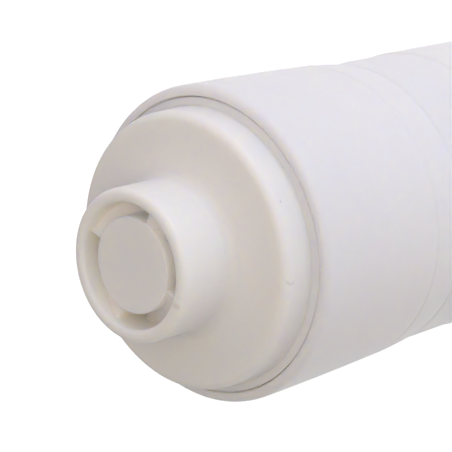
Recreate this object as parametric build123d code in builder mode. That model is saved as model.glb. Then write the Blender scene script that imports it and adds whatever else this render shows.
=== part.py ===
from build123d import *
import math
import os

# Inline ultrafiltration cartridge, standing on the neck of its outlet cap.
# Millimetres, +Z up along the cartridge axis, origin at the centre of the foot rim.

os.makedirs("parts", exist_ok=True)

# ---------------------------------------------------------------- overall
L = 260.0                 # overall length, neck rim to neck rim
R_BODY = 25.4             # largest outer radius of the tube, 2 in diameter

# ---------------------------------------------------------------- end caps
NECK_R = 12.0             # outer radius of the neck
MOUTH_R = 9.86            # radius of the mouth's wall
DISC_R = 7.54             # radius of the disc in the mouth
DISC_D = 1.0              # disc face below the rim
LIP_R = 1.15              # rounding of the rim's outer edge
LIP_IN = 0.75             # rounding of the rim's inner edge
FACE_D = 10.6             # cap face below the rim, at the neck
FACE_EDGE_D = 11.2        # cap face below the rim, at the shoulder's edge
NECK_FILLET = 2.0         # soft fillet between neck and face
CAP_R = 22.1              # outer radius of the cap's shoulder
CAP_EDGE = 1.5            # rounding of the shoulder's edge
FLANGE_D = 16.9           # flange face below the rim
FLANGE_R = 23.5           # flange's outer radius
SEAT_D = 20.0             # underside of the flange
SKIRT_R = 22.9            # weld skirt's outer radius
SKIRT_D = 34.0            # end of the weld skirt
ROOF_D = 13.2             # inner roof of the cap
WEB_D = 8.6               # underside of the ramps' web
INLET_BORE_R = 20.9       # inner radius of the inlet cap's skirt
SOCKET_R = 20.0           # seal socket in the outlet cap
LEDGE_D = 15.6            # ledge that carries the membrane shell
LEDGE_R = 17.5

RAMP_START = 48.5         # angle of the first ramp's high end, degrees
RAMP_TOP_D = 1.35         # depth of the ramp's high end below the rim
RAMP_LOW_D = 6.6          # depth that the ramp would reach at a full quarter turn
SLOT_ARC = 8.0            # arc of the narrow through slot beyond the low end

# ---------------------------------------------------------------- tube
RIM_D = 16.7              # tube rim below the neck rim, almost flush with the flange
RIM_ROUND = (1.2, 1.6)    # rounding of the rim's outer edge, across and along
MOUTH_BORE_R = 23.75      # tube bore round the flange
BORE_R = 22.3             # tube bore between the caps
BAND_R = 24.27            # waist band that a holding clip grips
MID_R = 24.50             # plain middle of the tube
FLAT_DIST = 23.72         # flat across the waist band, distance from the axis

# ---------------------------------------------------------------- element
SHELL_FOOT_R = 19.8
SHELL_R = 18.6
SHELL_IN_R = 16.9
POT_R = 15.6
POT_TOP = 43.6
SHELL_TOP = 214.0
GROOVE_R = 17.8
GROOVE_H = 3.4
GROOVE_Z = (21.0, 29.0)
RING_W = 2.9

FIBRE_R = 0.9
LUMEN_R = 0.5
FIBRE_PITCH = 2.4
FIRST_LEG = 1.5
BUNDLE_R = 14.3
BEND_Z = 188.0

NET_R = 15.9
NET_WIRE = 0.4

PLATE_R = 20.7


def z(d):
    """Height of a point that lies d below the inlet cap's rim."""
    return L - d


# ================================================================ ramps
# One of the four ramps between the disc and the neck's wall. Its top falls
# evenly, clockwise as seen from outside the mouth, and a narrow slot stays open
# between its low end and the next ramp's high end. Its sides run a little
# way into the disc's boss and the neck's wall, which it joins.
STEPS = 9
with BuildPart() as ramp:
    for i in range(STEPS):
        turn = (90.0 - SLOT_ARC) * i / (STEPS - 1)
        ang = math.radians(RAMP_START - turn)
        crest = RAMP_TOP_D + (RAMP_LOW_D - RAMP_TOP_D) * turn / 90.0
        radial = Vector(math.cos(ang), math.sin(ang), 0)
        tangent = Vector(math.sin(ang), -math.cos(ang), 0)
        at = radial * ((DISC_R + MOUTH_R) / 2) + Vector(0, 0, z((crest + WEB_D) / 2))
        with BuildSketch(Plane(origin=at, x_dir=radial, z_dir=tangent)):
            Rectangle(MOUTH_R - DISC_R + 1.0, WEB_D - crest)
    loft()


def cap_outside(skirt_in):
    """Half section of a cap from the rim to the skirt's end, in the XZ plane."""
    with BuildLine() as line:
        Line((MOUTH_R, z(ROOF_D)), (MOUTH_R, z(LIP_IN)))
        RadiusArc((MOUTH_R, z(LIP_IN)), (MOUTH_R + LIP_IN, z(0)), LIP_IN)
        Line((MOUTH_R + LIP_IN, z(0)), (NECK_R - LIP_R, z(0)))
        RadiusArc((NECK_R - LIP_R, z(0)), (NECK_R, z(LIP_R)), LIP_R)
        Line((NECK_R, z(LIP_R)), (NECK_R, z(FACE_D - NECK_FILLET)))
        RadiusArc(
            (NECK_R, z(FACE_D - NECK_FILLET)),
            (NECK_R + NECK_FILLET, z(FACE_D)),
            -NECK_FILLET,
        )
        Line((NECK_R + NECK_FILLET, z(FACE_D)), (CAP_R - 0.08 - CAP_EDGE, z(FACE_EDGE_D)))
        RadiusArc(
            (CAP_R - 0.08 - CAP_EDGE, z(FACE_EDGE_D)),
            (CAP_R - 0.08, z(FACE_EDGE_D + CAP_EDGE)),
            CAP_EDGE,
        )
        Polyline(
            (CAP_R - 0.08, z(FACE_EDGE_D + CAP_EDGE)),
            (CAP_R, z(FLANGE_D)),
            (FLANGE_R - 0.15, z(FLANGE_D)),
            (FLANGE_R, z(FLANGE_D + 0.15)),
            (FLANGE_R, z(SEAT_D)),
            (SKIRT_R, z(SEAT_D)),
            (SKIRT_R, z(SKIRT_D - 0.6)),
            (SKIRT_R - 0.6, z(SKIRT_D)),
            (skirt_in, z(SKIRT_D)),
        )
    return line.line


BOSS = [
    (0, z(DISC_D)),
    (DISC_R - 0.2, z(DISC_D)),
    (DISC_R, z(DISC_D + 0.2)),
    (DISC_R, z(WEB_D)),
    (5.7, z(WEB_D)),
    (5.4, z(DISC_D + 2.0)),
    (0, z(DISC_D + 2.0)),
]

# ================================================================ inlet cap
with BuildPart() as inlet_end_cap:
    with BuildSketch(Plane.XZ):
        with BuildLine():
            add(cap_outside(INLET_BORE_R))
            Polyline(
                (INLET_BORE_R, z(SKIRT_D)),
                (INLET_BORE_R, z(22.0)),
                (19.9, z(20.5)),
                (19.9, z(ROOF_D + 1.2)),
                (18.7, z(ROOF_D)),
                (MOUTH_R, z(ROOF_D)),
            )
        make_face()
    revolve(axis=Axis.Z)
    # the disc's boss, cored from behind
    with BuildSketch(Plane.XZ):
        with BuildLine():
            Polyline(*BOSS, close=True)
        make_face()
    revolve(axis=Axis.Z)
    with PolarLocations(0, 4):
        add(ramp.part)
    # four ribs inside the roof keep the diffuser plate clear of it
    with BuildSketch(Plane.XY.offset(z(22.0))):
        with PolarLocations(14.8, 4, start_angle=45):
            Rectangle(10.0, 1.8)
    extrude(amount=22.0 - ROOF_D + 0.4)
inlet_end_cap.part.label = "inlet_end_cap"

# ================================================================ outlet cap
with BuildPart() as outlet_upright:
    with BuildSketch(Plane.XZ):
        with BuildLine():
            add(cap_outside(SOCKET_R + 0.5))
            Polyline(
                (SOCKET_R + 0.5, z(SKIRT_D)),
                (SOCKET_R, z(SKIRT_D - 1.5)),
                (SOCKET_R, z(LEDGE_D)),
                (LEDGE_R, z(LEDGE_D)),
                (LEDGE_R, z(ROOF_D)),
                (MOUTH_R, z(ROOF_D)),
            )
        make_face()
    revolve(axis=Axis.Z)
    # the disc's boss, cored from behind
    with BuildSketch(Plane.XZ):
        with BuildLine():
            Polyline(*BOSS, close=True)
        make_face()
    revolve(axis=Axis.Z)
    with PolarLocations(0, 4):
        add(ramp.part)

# the outlet cap is the same moulding, turned over to stand on its neck
with BuildPart() as outlet_end_cap:
    add(outlet_upright.part.rotate(Axis.X, 180).translate((0, 0, L)))
outlet_end_cap.part.label = "outlet_end_cap"

# ================================================================ tube
half = [
    (20.0, 25.40),
    (28.0, 25.33),
    (36.5, 25.16),
    (44.1, 24.96),
]
taper = [
    (44.9, 24.94),
    (47.0, 24.85),
    (49.2, 24.69),
    (50.9, 24.54),
]


def tube_edge(zf):
    """Outer half section of one end, from the rim's inner edge to the middle."""
    across, along = RIM_ROUND
    pts = [(MOUTH_BORE_R, zf(SEAT_D)), (MOUTH_BORE_R, zf(RIM_D + 0.2)), (MOUTH_BORE_R + 0.2, zf(RIM_D))]
    Polyline(*pts)
    Line(pts[-1], (R_BODY - across, zf(RIM_D)))
    ThreePointArc(
        (R_BODY - across, zf(RIM_D)),
        (R_BODY - across + across * math.sin(math.radians(45)), zf(RIM_D + along - along * math.cos(math.radians(45)))),
        (R_BODY, zf(RIM_D + along)),
    )
    Line((R_BODY, zf(RIM_D + along)), (half[0][1], zf(half[0][0])))
    Spline(*[(r, zf(d)) for d, r in half])
    # fine parting line
    Polyline(
        (half[-1][1], zf(half[-1][0])),
        (half[-1][1] - 0.14, zf(44.35)),
        (half[-1][1] - 0.14, zf(44.6)),
        (taper[0][1], zf(taper[0][0])),
    )
    Spline(*[(r, zf(d)) for d, r in taper])
    # end of the taper, second line, waist band and step up to the middle
    Polyline(
        (taper[-1][1], zf(taper[-1][0])),
        (24.32, zf(52.2)),
        (24.10, zf(52.45)),
        (24.10, zf(52.75)),
        (BAND_R, zf(53.0)),
        (BAND_R, zf(68.7)),
        (MID_R, zf(69.2)),
    )


with BuildPart() as housing_tube:
    with BuildSketch(Plane.XZ):
        with BuildLine():
            tube_edge(lambda d: L - d)
            tube_edge(lambda d: d)
            Line((MID_R, z(69.2)), (MID_R, 69.2))
            Polyline(
                (MOUTH_BORE_R, z(SEAT_D)),
                (SKIRT_R, z(SEAT_D)),
                (SKIRT_R, z(SKIRT_D + 0.5)),
                (BORE_R, z(SKIRT_D + 1.5)),
                (BORE_R, SKIRT_D + 1.5),
                (SKIRT_R, SKIRT_D + 0.5),
                (SKIRT_R, SEAT_D),
                (MOUTH_BORE_R, SEAT_D),
            )
        make_face()
    revolve(axis=Axis.Z)
    # short flat across the waist band next to the inlet end, a key for its clip
    with BuildSketch(Plane.XY.offset(z(58.6))):
        with Locations((FLAT_DIST + 3.0, 0)):
            Rectangle(6.0, 30.0)
    extrude(amount=6.0, mode=Mode.SUBTRACT)
housing_tube.part.label = "housing_tube"

# ================================================================ membrane shell
with BuildPart() as membrane_shell:
    with BuildSketch(Plane.XZ):
        with BuildLine():
            Polyline(
                (POT_R, LEDGE_D),
                (SHELL_FOOT_R - 0.5, LEDGE_D),
                (SHELL_FOOT_R, LEDGE_D + 0.5),
                (SHELL_FOOT_R, GROOVE_Z[0] - GROOVE_H / 2),
                (GROOVE_R, GROOVE_Z[0] - GROOVE_H / 2),
                (GROOVE_R, GROOVE_Z[0] + GROOVE_H / 2),
                (SHELL_FOOT_R, GROOVE_Z[0] + GROOVE_H / 2),
                (SHELL_FOOT_R, GROOVE_Z[1] - GROOVE_H / 2),
                (GROOVE_R, GROOVE_Z[1] - GROOVE_H / 2),
                (GROOVE_R, GROOVE_Z[1] + GROOVE_H / 2),
                (SHELL_FOOT_R, GROOVE_Z[1] + GROOVE_H / 2),
                (SHELL_FOOT_R, 35.0),
                (SHELL_R, 38.0),
                (SHELL_R, SHELL_TOP),
                (SHELL_IN_R, SHELL_TOP),
                (SHELL_IN_R, POT_TOP + 2.0),
                (POT_R, POT_TOP),
                (POT_R, LEDGE_D),
            )
        make_face()
    revolve(axis=Axis.Z)
    # six rows of long windows let the water reach the fibres
    for k in range(3):
        with BuildSketch(Plane.XZ.rotated((0, 0, 60 * k))):
            with Locations(*[(0, 62.0 + 25.0 * j) for j in range(6)]):
                SlotOverall(18.0, 6.0, rotation=90)
        extrude(amount=SHELL_R + 2.0, both=True, mode=Mode.SUBTRACT)
    # four centring ribs near the top
    with BuildSketch(Plane.XY.offset(196.5)):
        with PolarLocations(SHELL_R + 1.6, 4, start_angle=45):
            Rectangle(3.6, 1.8)
    extrude(amount=14.0)
membrane_shell.part.label = "membrane_shell"

# ================================================================ seal rings
rings = []
for name, zc in (("seal_ring_lower", GROOVE_Z[0]), ("seal_ring_upper", GROOVE_Z[1])):
    with BuildPart() as ring:
        with BuildSketch(Plane.XZ):
            with Locations(((GROOVE_R + SOCKET_R) / 2, zc)):
                RectangleRounded(SOCKET_R - GROOVE_R, RING_W, 0.95)
        revolve(axis=Axis.Z)
    ring.part.label = name
    rings.append(ring.part)

# ================================================================ fibres
# Each fibre is one hairpin: two straight legs and a half-circle bend. The
# legs' open ends lie flush with the potting's lower face.
legs = []
count = int(BUNDLE_R / FIBRE_PITCH)
for row in range(-count, count + 1):
    y = row * FIBRE_PITCH
    k = 0
    while True:
        x = FIRST_LEG + k * FIBRE_PITCH
        if math.hypot(x, y) > BUNDLE_R - FIBRE_R + 0.35:
            break
        legs.append((x, y))
        k += 1

with BuildPart() as fibre_bundle:
    for x, y in legs:
        with BuildLine() as path:
            Line((-x, y, LEDGE_D), (-x, y, BEND_Z))
            ThreePointArc((-x, y, BEND_Z), (0, y, BEND_Z + x), (x, y, BEND_Z))
            Line((x, y, BEND_Z), (x, y, LEDGE_D))
        with BuildSketch(Plane(origin=(-x, y, LEDGE_D), x_dir=(1, 0, 0), z_dir=(0, 0, 1))):
            Circle(FIBRE_R)
            Circle(LUMEN_R, mode=Mode.SUBTRACT)
        sweep(path=path.line)
fibre_bundle.part.label = "fibre_bundle"
print("hairpins:", len(legs), "solids:", len(fibre_bundle.part.solids()))

# ================================================================ potting
with BuildPart() as potting_head:
    with BuildSketch(Plane.XY.offset(LEDGE_D)):
        Circle(POT_R)
        with Locations(*([(x, y) for x, y in legs] + [(-x, y) for x, y in legs])):
            Circle(FIBRE_R, mode=Mode.SUBTRACT)
    extrude(amount=POT_TOP - LEDGE_D)
potting_head.part.label = "potting_head"

# ================================================================ bundle net
NET_LOW = POT_TOP + 2.6
NET_TOP = 206.0
with BuildPart() as bundle_net:
    n_rings = 14
    for i in range(n_rings):
        zr = NET_LOW + NET_WIRE + i * (NET_TOP - NET_LOW - 2 * NET_WIRE) / (n_rings - 1)
        with BuildSketch(Plane.XZ):
            with Locations((NET_R, zr)):
                Rectangle(2 * NET_WIRE, 2 * NET_WIRE)
        revolve(axis=Axis.Z)
    with BuildSketch(Plane.XY.offset(NET_LOW)):
        with PolarLocations(NET_R, 12):
            Rectangle(2 * NET_WIRE - 0.1, 2 * NET_WIRE)
    extrude(amount=NET_TOP - NET_LOW)
bundle_net.part.label = "bundle_net"

# ================================================================ top guard
GUARD_TOP = SHELL_TOP + 2.0
RET_Z = z(SKIRT_D) - 2.5
with BuildPart() as shell_top_guard:
    with BuildSketch(Plane.XY.offset(SHELL_TOP)):
        Circle(SHELL_R)
        for ring_r, n in ((0, 1), (5.0, 6), (10.0, 12), (14.4, 18)):
            with PolarLocations(ring_r, n):
                Circle(1.5, mode=Mode.SUBTRACT)
    extrude(amount=2.0)
    # spigot that centres the guard in the shell
    with BuildSketch(Plane.XY.offset(SHELL_TOP - 4.0)):
        Circle(SHELL_IN_R)
        Circle(SHELL_IN_R - 0.9, mode=Mode.SUBTRACT)
    extrude(amount=4.0)
    # posts that carry the pad stack
    with BuildSketch(Plane.XY.offset(GUARD_TOP)):
        with PolarLocations(17.3, 4, start_angle=45):
            Circle(1.2)
    extrude(amount=RET_Z - GUARD_TOP)
shell_top_guard.part.label = "shell_top_guard"

# ================================================================ pad retainer
cells = [
    (5.0 * i, 5.0 * j)
    for i in range(-4, 5)
    for j in range(-4, 5)
    if math.hypot(abs(5.0 * i) + 1.8, abs(5.0 * j) + 1.8) < 20.0
]
with BuildPart() as pad_retainer:
    with BuildSketch(Plane.XY.offset(RET_Z)):
        Circle(BORE_R - 0.2)
        with Locations(*cells):
            Rectangle(3.6, 3.6, mode=Mode.SUBTRACT)
    extrude(amount=2.5)
pad_retainer.part.label = "pad_retainer"

# ================================================================ pad
PAD_LOW = z(SKIRT_D)
PLATE_LOW = z(22.0) - 2.0
with BuildPart() as prefilter_pad:
    with BuildSketch(Plane.XY.offset(PAD_LOW)):
        Circle(PLATE_R)
    extrude(amount=PLATE_LOW - PAD_LOW)
prefilter_pad.part.label = "prefilter_pad"

# ================================================================ diffuser
with BuildPart() as inlet_diffuser:
    with BuildSketch(Plane.XY.offset(PLATE_LOW)):
        Circle(PLATE_R)
        for ring_r, n in ((0, 1), (5.0, 6), (10.0, 12), (15.0, 18)):
            with PolarLocations(ring_r, n):
                Circle(1.25, mode=Mode.SUBTRACT)
    extrude(amount=2.0)
inlet_diffuser.part.label = "inlet_diffuser"

# ================================================================ files
export_step(housing_tube.part, "parts/housing_tube.step")
export_step(inlet_end_cap.part, "parts/inlet_end_cap.step")
export_step(outlet_end_cap.part, "parts/outlet_end_cap.step")
export_step(membrane_shell.part, "parts/membrane_shell.step")
export_step(rings[0], "parts/seal_ring_lower.step")
export_step(rings[1], "parts/seal_ring_upper.step")
export_step(fibre_bundle.part, "parts/fibre_bundle.step")
export_step(potting_head.part, "parts/potting_head.step")
export_step(bundle_net.part, "parts/bundle_net.step")
export_step(shell_top_guard.part, "parts/shell_top_guard.step")
export_step(pad_retainer.part, "parts/pad_retainer.step")
export_step(prefilter_pad.part, "parts/prefilter_pad.step")
export_step(inlet_diffuser.part, "parts/inlet_diffuser.step")
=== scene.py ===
import math

import bmesh
import bpy
from mathutils import Matrix, Vector


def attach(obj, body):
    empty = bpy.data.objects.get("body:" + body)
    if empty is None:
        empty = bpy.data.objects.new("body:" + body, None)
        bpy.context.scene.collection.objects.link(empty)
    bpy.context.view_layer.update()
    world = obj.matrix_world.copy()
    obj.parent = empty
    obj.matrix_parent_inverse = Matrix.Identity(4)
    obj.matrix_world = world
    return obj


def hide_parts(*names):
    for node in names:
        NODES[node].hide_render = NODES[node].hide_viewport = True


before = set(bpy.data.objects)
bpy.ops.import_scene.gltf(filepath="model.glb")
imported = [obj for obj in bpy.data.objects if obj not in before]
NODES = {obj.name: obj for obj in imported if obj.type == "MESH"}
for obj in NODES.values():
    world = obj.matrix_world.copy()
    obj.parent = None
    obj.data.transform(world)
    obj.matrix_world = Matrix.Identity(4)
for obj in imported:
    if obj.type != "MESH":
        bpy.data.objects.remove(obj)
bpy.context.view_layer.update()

MM = 0.001
L = 260.0


def Z(d):
    """Height in mm of a point d mm below the inlet cap's rim."""
    return L - d


# ------------------------------------------------------------------ geometry
def arc(cx, cy, r, a0, a1, n):
    """Points on an arc, angles in degrees, ends included."""
    return [
        (
            cx + r * math.cos(math.radians(a0 + (a1 - a0) * i / n)),
            cy + r * math.sin(math.radians(a0 + (a1 - a0) * i / n)),
        )
        for i in range(n + 1)
    ]


def rounded(points, radii, n=5):
    """A polyline with its inner corners rounded: one radius for each point."""
    out = []
    for i, (p, r) in enumerate(zip(points, radii)):
        if i in (0, len(points) - 1) or r <= 0:
            out.append(p)
            continue
        P = Vector(p)
        A = Vector(points[i - 1]) - P
        B = Vector(points[i + 1]) - P
        la, lb = A.length, B.length
        A.normalize()
        B.normalize()
        ang = A.angle(B)
        if ang > math.radians(178):
            out.append(p)
            continue
        t = min(r / math.tan(ang / 2), la * 0.49, lb * 0.49)
        rr = t * math.tan(ang / 2)
        c = P + (A + B).normalized() * (rr / math.sin(ang / 2))
        s, e = P + A * t, P + B * t
        for k in range(n + 1):
            u = k / n
            d = (s - c).lerp(e - c, u)
            d = d.normalized() * rr if d.length > 1e-9 else (s - c)
            out.append(tuple(c + d))
    return out


def catmull(points, n=6):
    """A smooth line through the points."""
    out = []
    P = [Vector(p) for p in points]
    for i in range(len(P) - 1):
        p0 = P[max(i - 1, 0)]
        p1, p2 = P[i], P[i + 1]
        p3 = P[min(i + 2, len(P) - 1)]
        for k in range(n):
            t = k / n
            q = 0.5 * (
                2 * p1
                + (p2 - p0) * t
                + (2 * p0 - 5 * p1 + 4 * p2 - p3) * t * t
                + (3 * p1 - p0 - 3 * p2 + p3) * t**3
            )
            out.append(tuple(q))
    out.append(tuple(P[-1]))
    return out


def resample(points, step):
    """Adds points so that no run is longer than step."""
    out = [points[0]]
    for a, b in zip(points, points[1:]):
        d = math.hypot(b[0] - a[0], b[1] - a[1])
        k = max(1, math.ceil(d / step))
        for i in range(1, k + 1):
            out.append((a[0] + (b[0] - a[0]) * i / k, a[1] + (b[1] - a[1]) * i / k))
    return out


def lathe(verts, faces, profile, seg, closed=True, shape=None, start=0.0):
    """Adds the surface of revolution of a profile of (r, z) in mm. shape(phi, r, z) may bend it."""
    base = len(verts)
    n = len(profile)
    for j in range(seg):
        a = 2 * math.pi * j / seg + start
        for r, zz in profile:
            if shape:
                r, zz = shape(a, r, zz)
            verts.append((r * math.cos(a) * MM, r * math.sin(a) * MM, zz * MM))
    last = n if closed else n - 1
    for j in range(seg):
        k = (j + 1) % seg
        for i in range(last):
            i2 = (i + 1) % n
            faces.append((base + j * n + i, base + k * n + i, base + k * n + i2, base + j * n + i2))


def disc_lathe(verts, faces, profile, seg, start=0.0):
    """Like lathe, for an open profile that starts and ends on the axis."""
    base = len(verts)
    n = len(profile)
    verts.append((0, 0, profile[0][1] * MM))
    verts.append((0, 0, profile[-1][1] * MM))
    inner = profile[1:-1]
    m = len(inner)
    for j in range(seg):
        a = 2 * math.pi * j / seg + start
        for r, zz in inner:
            verts.append((r * math.cos(a) * MM, r * math.sin(a) * MM, zz * MM))
    for j in range(seg):
        k = (j + 1) % seg
        faces.append((base, base + 2 + j * m, base + 2 + k * m))
        for i in range(m - 1):
            faces.append((base + 2 + j * m + i, base + 2 + j * m + i + 1, base + 2 + k * m + i + 1, base + 2 + k * m + i))
        faces.append((base + 1, base + 2 + k * m + m - 1, base + 2 + j * m + m - 1))


def grid_block(verts, faces, rings):
    """Adds a closed block from a list of rings, each a list of the same number of (x, y, z) in mm."""
    base = len(verts)
    m = len(rings[0])
    for ring in rings:
        for p in ring:
            verts.append(tuple(c * MM for c in p))
    for i in range(len(rings) - 1):
        for j in range(m):
            k = (j + 1) % m
            faces.append((base + i * m + j, base + i * m + k, base + (i + 1) * m + k, base + (i + 1) * m + j))
    faces.append(tuple(base + j for j in reversed(range(m))))
    faces.append(tuple(base + (len(rings) - 1) * m + j for j in range(m)))


def make_object(name, verts, faces, sharp=40.0):
    mesh = bpy.data.meshes.new(name)
    mesh.from_pydata(verts, [], faces)
    mesh.validate()
    obj = bpy.data.objects.new(name, mesh)
    bpy.context.scene.collection.objects.link(obj)
    bm = bmesh.new()
    bm.from_mesh(mesh)
    bmesh.ops.recalc_face_normals(bm, faces=bm.faces)
    for e in bm.edges:
        if len(e.link_faces) == 2 and e.calc_face_angle(0) > math.radians(sharp):
            e.smooth = False
    for f in bm.faces:
        f.smooth = True
    bm.to_mesh(mesh)
    bm.free()
    mesh.update()
    return obj


def new_object(name, mesh):
    obj = bpy.data.objects.new(name, mesh)
    bpy.context.scene.collection.objects.link(obj)
    return obj


def soften(mesh, sharp):
    """Smooth shading with the edges above an angle kept sharp."""
    bm = bmesh.new()
    bm.from_mesh(mesh)
    for e in bm.edges:
        e.smooth = not (len(e.link_faces) == 2 and e.calc_face_angle(0) > math.radians(sharp))
    for f in bm.faces:
        f.smooth = True
    bm.to_mesh(mesh)
    bm.free()
    mesh.update()


def union(name, pieces, sharp=32.0):
    """One closed skin round several overlapping closed pieces."""
    base = pieces[0]
    for other in pieces[1:]:
        mod = base.modifiers.new("join", "BOOLEAN")
        mod.operation = "UNION"
        mod.solver = "EXACT"
        mod.object = other
    bpy.context.view_layer.update()
    deps = bpy.context.evaluated_depsgraph_get()
    mesh = bpy.data.meshes.new_from_object(base.evaluated_get(deps))
    mesh.name = name
    for o in pieces:
        bpy.data.objects.remove(o, do_unlink=True)
    soften(mesh, sharp)
    return new_object(name, mesh)


# ------------------------------------------------------------------ caps
RAMP_START, RAMP_ARC = 48.5, 82.0
DISC_R, MOUTH_R = 7.54, 9.86
RAMP_TOP, RAMP_LOW, WEB = 1.35, 6.6, 8.6


def cap_profile(skirt_in):
    """Closed (r, z) profile of a cap, from the bore's foot round the outside and back."""
    out = [(MOUTH_R, Z(13.2)), (MOUTH_R, Z(8.0))]
    out += [(MOUTH_R, Z(1.6))]
    out += arc(MOUTH_R + 0.75, Z(0.75), 0.75, 180, 90, 8)
    out += arc(12.0 - 1.15, Z(1.15), 1.15, 90, 0, 10)
    out += [(12.0, Z(3.0)), (12.0, Z(5.8))]
    out += arc(12.0 + 2.0, Z(10.6 - 2.0), 2.0, 180, 267, 12)
    out += [(15.0, Z(10.68)), (17.0, Z(10.86)), (19.0, Z(11.05)), (20.1, Z(11.15))]
    out += arc(22.02 - 1.5, Z(11.2 + 1.5), 1.5, 87, 0, 13)
    out += [(22.06, Z(14.6)), (22.1, Z(16.55))]
    out += arc(22.1 + 0.3, Z(16.6), 0.3, 180, 270, 4)
    out += [(22.9, Z(16.9)), (23.35, Z(16.9))]
    out += arc(23.5 - 0.15, Z(16.9 + 0.15), 0.15, 90, 0, 3)
    out += [(23.5, Z(18.4)), (23.5, Z(20.0)), (22.9, Z(20.0)), (22.9, Z(33.4)), (22.3, Z(34.0))]
    out += skirt_in
    return resample(out, 1.6)


def ramp_block(verts, faces, start):
    """One ramp: a wedge that falls clockwise, with soft edges at its high end and small fillets at its walls."""
    n = 44
    rings = []
    r0, r1 = DISC_R - 0.35, MOUTH_R + 0.35
    for i in range(-4, n + 1):
        if i < 0:
            # rounded high end: the first rings drop away over a quarter circle
            u = (i + 4) / 4
            ang = start + 0.0 - math.degrees(0.3 * (1 - math.cos(u * math.pi / 2)) / 8.7)
            crest = RAMP_TOP + 0.3 * (1 - math.sin(u * math.pi / 2))
        else:
            turn = 1.95 + (RAMP_ARC - 1.95) * i / n
            ang = start - turn
            crest = RAMP_TOP + (RAMP_LOW - RAMP_TOP) * turn / 90.0
        ca, sa = math.cos(math.radians(ang)), math.sin(math.radians(ang))
        top = [(r0, Z(crest) + 0.22), (DISC_R + 0.02, Z(crest) + 0.22)]
        top += [(DISC_R + 0.02 + 0.22 * (1 - math.cos(math.radians(t))), Z(crest) + 0.22 - 0.22 * math.sin(math.radians(t))) for t in (30, 60, 90)]
        top += [(8.2, Z(crest)), (8.7, Z(crest)), (9.2, Z(crest))]
        top += [(MOUTH_R - 0.02 - 0.22 * (1 - math.cos(math.radians(t))), Z(crest) + 0.22 - 0.22 * math.sin(math.radians(t))) for t in (90, 60, 30)]
        top += [(MOUTH_R - 0.02, Z(crest) + 0.22), (r1, Z(crest) + 0.22)]
        low = [(r1, Z(WEB - 0.05)), (r0, Z(WEB - 0.05))]
        rings.append([(r * ca, r * sa, zz) for r, zz in top + low])
    grid_block(verts, faces, rings)


def boss_profile():
    out = [(0, Z(1.0)), (2.5, Z(1.0)), (5.0, Z(1.0))]
    out += [(7.54 - 0.28, Z(1.0))]
    out += arc(7.54 - 0.22, Z(1.22), 0.22, 78, 0, 5)
    out += [(7.54, Z(4.0)), (7.54, Z(8.6)), (5.7, Z(8.6)), (5.4, Z(3.0)), (0, Z(3.0))]
    return out


def rib_block(verts, faces, angle):
    """One of the ribs under the inlet cap's roof."""
    a = math.radians(angle)
    ring = []
    for u, v in ((9.95, -0.9), (19.95, -0.9), (19.95, 0.9), (9.95, 0.9)):
        ring.append((u * math.cos(a) - v * math.sin(a), u * math.sin(a) + v * math.cos(a)))
    grid_block(verts, faces, [[(x, y, Z(22.0)) for x, y in ring], [(x, y, Z(13.0)) for x, y in ring]])


def build_cap(name, skirt, flip, ribs):
    """A whole cap: turned body, disc on its boss, four ramps, and the ribs under the roof."""
    pieces = []
    jobs = [
        lambda v, f: lathe(v, f, cap_profile(skirt), 288, start=0.0071),
        lambda v, f: disc_lathe(v, f, boss_profile(), 144, start=0.0123),
    ]
    for k in range(4):
        jobs.append(lambda v, f, k=k: ramp_block(v, f, RAMP_START + 90 * k))
        if ribs:
            jobs.append(lambda v, f, k=k: rib_block(v, f, 45 + 90 * k))
    for i, job in enumerate(jobs):
        verts, faces = [], []
        job(verts, faces)
        if flip:
            verts = [(x, -y, L * MM - zz) for x, y, zz in verts]
        pieces.append(make_object(f"{name}_{i}", verts, faces))
    return union(name, pieces)


inlet_skirt = [(20.9, Z(34.0)), (20.9, Z(22.0)), (19.9, Z(20.5)), (19.9, Z(14.4)), (18.7, Z(13.2))]
outlet_skirt = [(20.5, Z(34.0)), (20.0, Z(32.5)), (20.0, Z(15.6)), (17.5, Z(15.6)), (17.5, Z(13.2))]
inlet_cap = build_cap("inlet_cap", inlet_skirt, False, True)
outlet_cap = build_cap("outlet_cap", outlet_skirt, True, False)

# ------------------------------------------------------------------ tube
def tube_outer():
    """(r, d) of the outside of one end, from the rim's inner edge to the step, d below the inlet rim."""
    out = [(23.54, 20.0), (23.54, 17.42), (23.75, 17.28), (23.75, 17.1)]
    out += [(23.95 + 0.2 * math.cos(math.radians(t)), 16.9 - 0.2 * math.sin(math.radians(t))) for t in (180, 150, 120, 90)]
    out += [(25.4 - 1.2 + 1.2 * math.sin(math.radians(t)), 16.7 + 1.6 - 1.6 * math.cos(math.radians(t))) for t in range(0, 91, 9)]
    out += catmull([(25.40, 20.0), (25.33, 28.0), (25.16, 36.5), (24.96, 44.05)], 8)
    out += [(24.90, 44.2), (24.83, 44.36), (24.83, 44.58), (24.89, 44.74)]
    out += catmull([(24.94, 44.95), (24.85, 47.0), (24.69, 49.2), (24.54, 50.9)], 5)
    out += [(24.44, 51.6), (24.30, 52.2), (24.16, 52.42), (24.11, 52.6), (24.16, 52.78), (24.24, 52.95)]
    out += [(24.27, 53.3), (24.27, 60.0), (24.27, 68.4), (24.30, 68.7), (24.42, 69.0), (24.49, 69.3), (24.5, 69.8)]
    return out


edge = tube_outer()
outside = [(r, Z(d)) for r, d in edge] + [(r, d) for r, d in reversed(edge)]
inside = [(23.54, 20.0), (22.9, 20.0), (22.9, 34.5), (22.3, 35.5), (22.3, Z(35.5)), (22.9, Z(34.5)), (22.9, Z(20.0)), (23.54, Z(20.0))]
tube_profile = resample(outside, 2.2) + resample(inside, 8.0)[1:-1]
FLAT = 23.72


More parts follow.
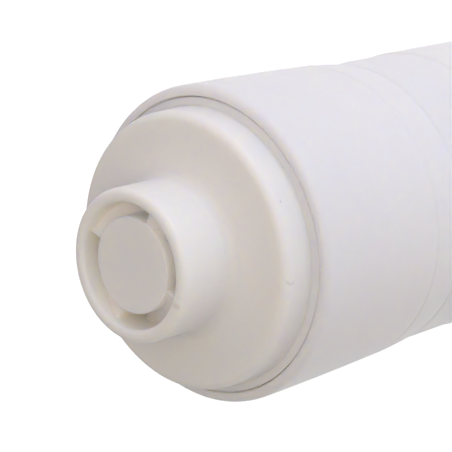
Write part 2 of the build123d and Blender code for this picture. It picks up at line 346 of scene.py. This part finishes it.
def tube_shape(a, r, zz):
    """The short flat across the waist band at the inlet end, with soft ends."""
    d = L - zz
    if r > 24.0 and 52.3 < d < 59.2:
        w = min(1.0, max(0.0, (d - 52.5) / 0.9)) * min(1.0, max(0.0, (58.9 - d) / 0.9))
        w = w * w * (3 - 2 * w)
        x = r * math.cos(a)
        if x > 0:
            flat = FLAT / math.cos(a) if math.cos(a) > 0.5 else 1e9
            if flat < r:
                r = r + (flat - r) * w
    return r, zz


verts, faces = [], []
lathe(verts, faces, tube_profile, 320, shape=tube_shape)
tube = make_object("tube_body", verts, faces)

for piece, node, slot in (
    (inlet_cap, "inlet_end_cap", "caps"),
    (outlet_cap, "outlet_end_cap", "caps"),
    (tube, "housing_tube", "tube"),
):
    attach(piece, "root")
    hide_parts(node)


# ------------------------------------------------------------------ materials
def new_material(name):
    m = bpy.data.materials.new(name)
    m.use_nodes = True
    nt = m.node_tree
    nt.nodes.clear()
    out = nt.nodes.new("ShaderNodeOutputMaterial")
    bsdf = nt.nodes.new("ShaderNodeBsdfPrincipled")
    nt.links.new(bsdf.outputs[0], out.inputs["Surface"])
    return m, nt, bsdf


def coords(nt):
    return nt.nodes.new("ShaderNodeTexCoord").outputs["Object"]


def noise(nt, vec, scale, detail=3.0, rough=0.5, distort=0.0):
    n = nt.nodes.new("ShaderNodeTexNoise")
    n.inputs["Scale"].default_value = scale
    n.inputs["Detail"].default_value = detail
    n.inputs["Roughness"].default_value = rough
    n.inputs["Distortion"].default_value = distort
    nt.links.new(vec, n.inputs["Vector"])
    return n.outputs["Fac"]


def ramp_node(nt, fac, stops):
    r = nt.nodes.new("ShaderNodeValToRGB")
    el = r.color_ramp.elements
    while len(el) > 1:
        el.remove(el[-1])
    for i, (p, c) in enumerate(stops):
        e = el[0] if i == 0 else el.new(p)
        e.position = p
        e.color = (*c, 1.0) if len(c) == 3 else c
    nt.links.new(fac, r.inputs["Fac"])
    return r.outputs["Color"]


def math_node(nt, op, a, b):
    m = nt.nodes.new("ShaderNodeMath")
    m.operation = op
    for i, v in enumerate((a, b)):
        if isinstance(v, (int, float)):
            m.inputs[i].default_value = v
        else:
            nt.links.new(v, m.inputs[i])
    return m.outputs[0]


def map_range(nt, v, a, b, c, d):
    m = nt.nodes.new("ShaderNodeMapRange")
    nt.links.new(v, m.inputs["Value"])
    for k, x in (("From Min", a), ("From Max", b), ("To Min", c), ("To Max", d)):
        m.inputs[k].default_value = x
    return m.outputs["Result"]


def spots(nt, co, col, marks):
    """Small stains: each is (points in metres, core radius, faded radius, strength, colour)."""
    for points, core, edge_r, strength, tint in marks:
        near = None
        for p in points:
            dist = nt.nodes.new("ShaderNodeVectorMath")
            dist.operation = "DISTANCE"
            nt.links.new(co, dist.inputs[0])
            dist.inputs[1].default_value = p
            near = dist.outputs["Value"] if near is None else math_node(nt, "MINIMUM", near, dist.outputs["Value"])
        mix = nt.nodes.new("ShaderNodeMix")
        mix.data_type = "RGBA"
        nt.links.new(map_range(nt, near, core, edge_r, strength, 0.0), mix.inputs[0])
        nt.links.new(col, mix.inputs[6])
        mix.inputs[7].default_value = (*tint, 1.0)
        col = mix.outputs[2]
    return col


def plastic(name, light, dark, rough=0.42, bump=0.05, mottle=90.0, sss=1.0, radius=0.004, marks=()):
    """White moulded polypropylene: slow tone drift, fine mottling, faint orange peel, a little light inside."""
    m, nt, b = new_material(name)
    co = coords(nt)
    slow = noise(nt, co, mottle * 0.35, 2.0)
    fine = noise(nt, co, mottle * 6.0, 4.0, 0.6)
    mix = math_node(nt, "ADD", math_node(nt, "MULTIPLY", slow, 0.65), math_node(nt, "MULTIPLY", fine, 0.35))
    col = spots(nt, co, ramp_node(nt, mix, [(0.36, dark), (0.62, light)]), marks)
    nt.links.new(col, b.inputs["Base Color"])
    r = map_range(nt, noise(nt, co, mottle * 3.0, 3.0), 0.3, 0.7, rough - 0.05, rough + 0.07)
    nt.links.new(r, b.inputs["Roughness"])
    peel = noise(nt, co, mottle * 14.0, 2.0)
    wave = noise(nt, co, mottle * 1.1, 2.0)
    h = math_node(nt, "ADD", math_node(nt, "MULTIPLY", peel, 0.3), wave)
    bp = nt.nodes.new("ShaderNodeBump")
    bp.inputs["Strength"].default_value = bump
    bp.inputs["Distance"].default_value = 0.0004
    nt.links.new(h, bp.inputs["Height"])
    nt.links.new(bp.outputs["Normal"], b.inputs["Normal"])
    b.inputs["Subsurface Weight"].default_value = sss
    b.inputs["Subsurface Radius"].default_value = (1.0, 0.85, 0.5)
    b.inputs["Subsurface Scale"].default_value = radius
    b.inputs["IOR"].default_value = 1.49
    b.inputs["Specular IOR Level"].default_value = 0.4
    return m


MARKS = (
    (((0.00359, -0.02173, 0.24686),), 0.00007, 0.00022, 0.36, (0.33, 0.34, 0.34)),
    (((-0.00810, -0.02009, 0.24827), (-0.00828, -0.02012, 0.24814), (-0.00847, -0.02014, 0.24798), (-0.00858, -0.02018, 0.24779), (-0.00860, -0.02024, 0.24757), (-0.00856, -0.02028, 0.24735), (-0.00852, -0.02031, 0.24714)), 0.00006, 0.00028, 0.20, (0.42, 0.36, 0.32)),
    (((-0.00723, -0.00789, 0.26000), (-0.00734, -0.00807, 0.25999), (-0.00746, -0.00822, 0.25997), (-0.00761, -0.00834, 0.25991)), 0.00005, 0.00062, 0.24, (0.48, 0.34, 0.30)),
)
M_TUBE = plastic("white_tube_plastic", (0.90, 0.89, 0.89), (0.875, 0.865, 0.865), rough=0.42, radius=0.0026)
M_CAP = plastic("white_cap_plastic", (0.94, 0.93, 0.91), (0.92, 0.91, 0.89), rough=0.48, radius=0.0020, marks=MARKS)
M_IN = plastic("natural_inner_plastic", (0.95, 0.94, 0.91), (0.92, 0.91, 0.88), rough=0.5)
M_NET = plastic("net_plastic", (0.62, 0.70, 0.76), (0.55, 0.63, 0.70), rough=0.45)
M_FIB = plastic("hollow_fibre", (0.86, 0.86, 0.82), (0.78, 0.78, 0.74), rough=0.7)
M_RESIN = plastic("potting_resin", (0.70, 0.58, 0.34), (0.60, 0.48, 0.26), rough=0.22, sss=0.3)
M_SEAL = plastic("seal_rubber", (0.035, 0.035, 0.037), (0.02, 0.02, 0.022), rough=0.6, sss=0.0)


def felt(name):
    m, nt, b = new_material(name)
    co = coords(nt)
    f = noise(nt, co, 900.0, 6.0, 0.7, 1.2)
    c = ramp_node(nt, f, [(0.35, (0.62, 0.62, 0.58)), (0.65, (0.86, 0.86, 0.83))])
    nt.links.new(c, b.inputs["Base Color"])
    b.inputs["Roughness"].default_value = 0.95
    bp = nt.nodes.new("ShaderNodeBump")
    bp.inputs["Strength"].default_value = 0.6
    bp.inputs["Distance"].default_value = 0.0006
    nt.links.new(f, bp.inputs["Height"])
    nt.links.new(bp.outputs["Normal"], b.inputs["Normal"])
    return m


M_FELT = felt("prefilter_felt")

for obj, mat in ((inlet_cap, M_CAP), (outlet_cap, M_CAP), (tube, M_TUBE)):
    obj.data.materials.clear()
    obj.data.materials.append(mat)

INNER = {
    "housing_tube": M_TUBE,
    "inlet_end_cap": M_CAP,
    "outlet_end_cap": M_CAP,
    "membrane_shell": M_IN,
    "shell_top_guard": M_IN,
    "pad_retainer": M_IN,
    "inlet_diffuser": M_IN,
    "prefilter_pad": M_FELT,
    "bundle_net": M_NET,
    "fibre_bundle": M_FIB,
    "potting_head": M_RESIN,
    "seal_ring_lower": M_SEAL,
    "seal_ring_upper": M_SEAL,
}
for node, mat in INNER.items():
    o = NODES[node]
    if not o.material_slots:
        o.data.materials.append(mat)
    for s in o.material_slots:
        s.material = mat

# ------------------------------------------------------------------ floor
def floor():
    verts, faces = [], []
    n, size = 24, 3.0
    for j in range(n + 1):
        for i in range(n + 1):
            verts.append((size * (2 * i / n - 1), size * (2 * j / n - 1), -0.0002))
    for j in range(n):
        for i in range(n):
            a = j * (n + 1) + i
            faces.append((a, a + 1, a + n + 2, a + n + 1))
    o = make_object("floor", verts, faces)
    m, nt, b = new_material("floor_white_painted_light_pool")
    nt.links.new(
        ramp_node(nt, noise(nt, coords(nt), 6.0), [(0.3, (0.9, 0.9, 0.9)), (0.7, (0.93, 0.93, 0.93))]),
        b.inputs["Base Color"],
    )
    b.inputs["Roughness"].default_value = 0.9
    # Painted pool of light: the floor glows with emitted colour, brightest within 0.18 m of a spot behind the part
    # at (0, 0.235, 0) and fading to a dim glow beyond 0.5 m, though it is no lamp.
    away = nt.nodes.new("ShaderNodeVectorMath")
    away.operation = "DISTANCE"
    nt.links.new(coords(nt), away.inputs[0])
    away.inputs[1].default_value = (0.0, 0.235, 0.0)
    painted_light_pool = map_range(nt, away.outputs["Value"], 0.18, 0.5, 0.0, 1.0)
    nt.links.new(ramp_node(nt, painted_light_pool, [(0.0, (0.615, 0.635, 0.635)), (1.0, (0.090, 0.093, 0.091))]), b.inputs["Emission Color"])
    b.inputs["Emission Strength"].default_value = 1.0
    o.data.materials.append(m)
    return o


floor()

# ------------------------------------------------------------------ camera
RIGHT = Vector((-0.2548, -0.6870, -0.6805))
FWD = Vector((0.0, 0.7038, -0.7104)).normalized()
RIGHT = (RIGHT - FWD * RIGHT.dot(FWD)).normalized()
UP = RIGHT.cross(FWD).normalized()
EYE = Vector((0.00215, -0.21179, (L - 0.99) * MM + 0.19205))

cam_data = bpy.data.cameras.new("camera")
cam = bpy.data.objects.new("camera", cam_data)
bpy.context.scene.collection.objects.link(cam)
cam_data.sensor_width = 36.0
cam_data.lens = 1891.8 / 452.0 * 36.0
cam_data.clip_start = 0.01
cam_data.clip_end = 20.0
cam.matrix_world = Matrix(
    (
        (RIGHT.x, UP.x, -FWD.x, EYE.x),
        (RIGHT.y, UP.y, -FWD.y, EYE.y),
        (RIGHT.z, UP.z, -FWD.z, EYE.z),
        (0, 0, 0, 1),
    )
)
bpy.context.scene.camera = cam


# ------------------------------------------------------------------ light
def lamp(azimuth, elevation, colour, target=Vector((0, 0, 0.22))):
    """A soft round lamp 0.9 m away; colour is its strength in red, green and blue."""
    a, e = math.radians(azimuth), math.radians(elevation)
    d = Vector((math.cos(a) * math.cos(e), math.sin(a) * math.cos(e), math.sin(e)))
    top = max(colour)
    name = f"lamp_{azimuth % 360}_{elevation % 360}"
    data = bpy.data.lights.new(name, "AREA")
    data.shape = "DISK"
    data.size = 0.6
    data.energy = 10.0 * top
    data.color = tuple(c / top for c in colour)
    o = bpy.data.objects.new(name, data)
    bpy.context.scene.collection.objects.link(o)
    o.location = target + d * 0.9
    o.rotation_mode = "QUATERNION"
    o.rotation_quaternion = (-d).to_track_quat("-Z", "Y")
    return o


lamp(-135, -8, (0.028, 0.020, 0.000))
lamp(-45, -8, (0.225, 0.216, 0.238))
lamp(-45, 20, (0.010, 0.056, 0.080))
lamp(-45, 48, (0.000, 0.003, 0.024))
lamp(-90, -8, (0.000, 0.000, 0.061))
lamp(-90, 48, (0.221, 0.180, 0.120))
lamp(-90, 75, (0.032, 0.010, 0.000))
lamp(0, 20, (0.080, 0.032, 0.009))
lamp(45, 20, (0.020, 0.023, 0.030))

world = bpy.data.worlds.new("studio")
bpy.context.scene.world = world
world.use_nodes = True
bg = world.node_tree.nodes.get("Background") or world.node_tree.nodes.new("ShaderNodeBackground")
bg.inputs["Color"].default_value = (0.94, 0.953, 1.0, 1)
bg.inputs["Strength"].default_value = 0.348

bpy.context.scene.view_settings.view_transform = "Standard"
bpy.context.scene.view_settings.look = "None"
